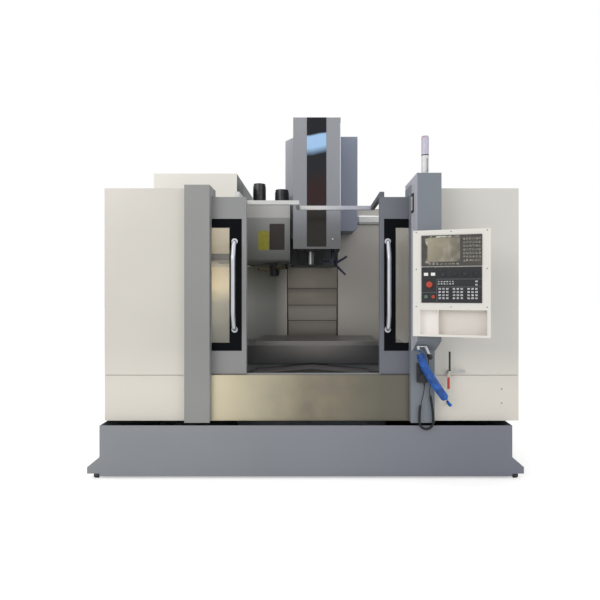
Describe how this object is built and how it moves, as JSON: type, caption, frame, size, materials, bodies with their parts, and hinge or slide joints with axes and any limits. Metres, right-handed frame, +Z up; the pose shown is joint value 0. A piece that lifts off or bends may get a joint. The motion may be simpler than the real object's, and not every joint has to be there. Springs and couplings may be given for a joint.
{
  "type": "cnc machining center",
  "caption": "Vertical machining center with a moving table, spindle head, side tool changer, sliding glazed doors, a swivelling control pendant and a coolant tank below.",
  "frame": {"origin": "on the floor, under the middle of the whole machine without its loose lines", "axes": "+Z up, +X to the operator's right along the table, +Y away from the operator"},
  "size_m": [3.354, 2.8832, 3.176],
  "materials": {
    "cast": "painted casting, fine texture",
    "steel": "ground steel",
    "white": "warm white powder coat",
    "grey": "mid grey powder coat",
    "tank": "blue-grey paint",
    "head_grey": "blue-grey paint, soft sheen",
    "strip": "polished dark strip",
    "plate": "brushed stainless",
    "dark": "dark satin grey",
    "inner": "beige-grey paint",
    "black": "black satin",
    "panel_black": "black membrane",
    "screen": "reflective screen in a grey bezel",
    "red": "orange-red",
    "green": "green",
    "glass": "laminated glass with a black edge print",
    "chrome": "polished tube",
    "lamp": "translucent",
    "rubber": "matt",
    "hose": "blue coiled tube",
    "brass": "nickel and brass fittings",
    "nozzle": "dark blue-black joints"
  },
  "bodies": {
    "machine": {"bed": "cast", "leveling_feet": "steel", "coolant_tank": "tank", "tank_casters": "tank", "column": "cast", "axis_drives": "steel", "front_panels": "white", "left_post": "grey", "right_post": "grey", "front_plate": "plate", "top_frame": "grey", "side_panels": "white", "magazine_cover": "white", "splash_pan": "inner", "z_cover_base": "plate", "y_cover_front": "dark", "electrical_cabinet": "grey", "signal_lamp": "lamp", "work_lamp": "lamp", "atc_housing": "grey", "atc_unit": "cast", "mpg_box": "black", "air_gun": "brass", "air_valve": "brass", "mpg_lead_lower": "rubber", "mpg_curl": "rubber", "mpg_lead_upper": "rubber", "air_hose": "hose"},
    "rear_door": {"cabinet_door": "grey"},
    "saddle": {"saddle": "cast", "x_drive": "steel"},
    "y_cover": {"y_cover_mid": "dark"},
    "table": {"table": "steel", "table_guards": "dark"},
    "head": {"head": "cast", "head_cover": "head_grey", "head_strip": "strip", "z_cover_top": "plate", "coolant_nozzles": "nozzle"},
    "z_cover_upper": {"z_cover_upper": "plate"},
    "z_cover_lower": {"z_cover_lower": "plate"},
    "spindle": {"spindle": "steel"},
    "changer_shaft": {"atc_shaft": "steel"},
    "changer_arm": {"atc_arm": "steel"},
    "tool_disc": {"tool_disc": "steel"},
    "left_door": {"left_door": "grey", "left_window": "glass", "left_handle": "chrome"},
    "right_door": {"right_door": "grey", "right_window": "glass", "right_handle": "chrome"},
    "pendant": {"pendant_box": "white", "operator_panel": "panel_black", "screen_unit": "screen"},
    "estop_button": {"estop_button": "red"},
    "start_button": {"start_button": "green"},
    "stop_button": {"stop_button": "red"},
    "feed_knob": {"feed_knob": "black"},
    "spindle_knob": {"spindle_knob": "black"},
    "mpg_wheel": {"mpg_wheel": "black"}
  },
  "joints": [
    {"name": "left_door_slide", "type": "slide", "parent": "machine", "child": "left_door", "axis": [1, 0, 0], "range_m": [0, 0.522]},
    {"name": "right_door_slide", "type": "slide", "parent": "machine", "child": "right_door", "axis": [-1, 0, 0], "range_m": [0, 0.522]},
    {"name": "saddle_travel", "type": "slide", "parent": "machine", "child": "saddle", "axis": [0, 1, 0], "range_m": [-0.3, 0.3]},
    {"name": "y_cover_travel", "type": "slide", "parent": "machine", "child": "y_cover", "axis": [0, 1, 0], "range_m": [-0.15, 0.15]},
    {"name": "table_travel", "type": "slide", "parent": "saddle", "child": "table", "axis": [1, 0, 0], "range_m": [-0.6, 0.5]},
    {"name": "head_travel", "type": "slide", "parent": "machine", "child": "head", "axis": [0, 0, 1], "range_m": [-0.6, 0]},
    {"name": "z_cover_upper_travel", "type": "slide", "parent": "machine", "child": "z_cover_upper", "axis": [0, 0, 1], "range_m": [-0.4, 0]},
    {"name": "z_cover_lower_travel", "type": "slide", "parent": "machine", "child": "z_cover_lower", "axis": [0, 0, 1], "range_m": [-0.2, 0]},
    {"name": "spindle_spin", "type": "hinge", "parent": "head", "child": "spindle", "pos_m": [0.025, 0.22526, 1.722], "axis": [0, 0, 1], "continuous": true},
    {"name": "changer_stroke", "type": "slide", "parent": "machine", "child": "changer_shaft", "axis": [0, 0, -1], "range_m": [0, 0.115]},
    {"name": "changer_swing", "type": "hinge", "parent": "changer_shaft", "child": "changer_arm", "pos_m": [-0.357, 0.22526, 1.69], "axis": [0, 0, 1], "range_deg": [0, 180]},
    {"name": "tool_disc_spin", "type": "hinge", "parent": "machine", "child": "tool_disc", "pos_m": [-0.807, 0.22526, 2.16], "axis": [1, 0, 0], "continuous": true},
    {"name": "pendant_swivel", "type": "hinge", "parent": "machine", "child": "pendant", "pos_m": [0.843, -1.22074, 1.275], "axis": [0, 0, 1], "range_deg": [-35, 20]},
    {"name": "estop_press", "type": "slide", "parent": "pendant", "child": "estop_button", "axis": [0.2823, 0.9593, 0], "range_m": [0, 0.006], "stiffness_N_per_m": 900},
    {"name": "start_press", "type": "slide", "parent": "pendant", "child": "start_button", "axis": [0.2823, 0.9593, 0], "range_m": [0, 0.004], "stiffness_N_per_m": 600},
    {"name": "stop_press", "type": "slide", "parent": "pendant", "child": "stop_button", "axis": [0.2823, 0.9593, 0], "range_m": [0, 0.004], "stiffness_N_per_m": 600},
    {"name": "feed_knob_turn", "type": "hinge", "parent": "pendant", "child": "feed_knob", "pos_m": [0.96958, -1.35319, 1.559], "axis": [-0.2823, -0.9593, 0], "range_deg": [-135, 135]},
    {"name": "spindle_knob_turn", "type": "hinge", "parent": "pendant", "child": "spindle_knob", "pos_m": [1.10772, -1.39384, 1.559], "axis": [-0.2823, -0.9593, 0], "range_deg": [-135, 135]},
    {"name": "mpg_wheel_turn", "type": "hinge", "parent": "machine", "child": "mpg_wheel", "pos_m": [0.889, -1.08874, 0.79], "axis": [0, 1, 0], "continuous": true},
    {"name": "rear_door_swing", "type": "hinge", "parent": "machine", "child": "rear_door", "pos_m": [1.542, 1.40626, 0.52], "axis": [0, 0, -1], "range_deg": [0, 110]}
  ],
  "couplings": [
    {"joint": "y_cover_travel", "follows": "saddle_travel", "ratio": 0.5},
    {"joint": "z_cover_upper_travel", "follows": "head_travel", "ratio": 0.6666},
    {"joint": "z_cover_lower_travel", "follows": "head_travel", "ratio": 0.3333}
  ]
}
